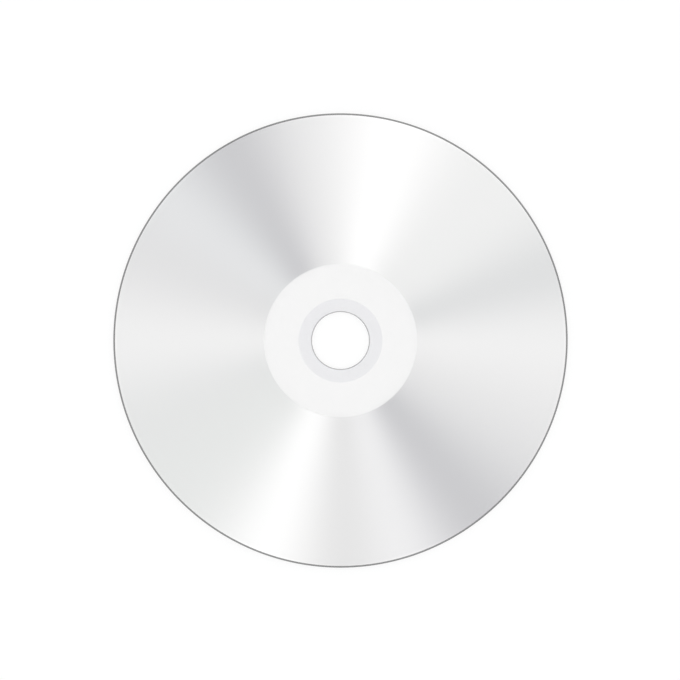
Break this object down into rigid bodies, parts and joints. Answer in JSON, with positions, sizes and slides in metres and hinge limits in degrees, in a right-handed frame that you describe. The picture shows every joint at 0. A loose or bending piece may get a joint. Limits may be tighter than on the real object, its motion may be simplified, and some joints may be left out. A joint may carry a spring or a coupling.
{
  "type": "compact disc",
  "caption": "Optical disc lying label side up: clear moulded disc with a silver metallised data area, a clear hub and a centre hole.",
  "frame": {"origin": "centre of the hole, on the plane that the stacking ring rests on", "axes": "+Z is the disc's axis and points out of the label side; +X and +Y lie in the plane of the disc"},
  "size_m": [0.12, 0.12, 0.0013],
  "materials": {
    "clear_polycarbonate": "gloss",
    "lacquered_aluminium": "polished"
  },
  "bodies": {
    "root": {"substrate": "clear_polycarbonate", "reflective_layer": "lacquered_aluminium"}
  },
  "joints": []
}
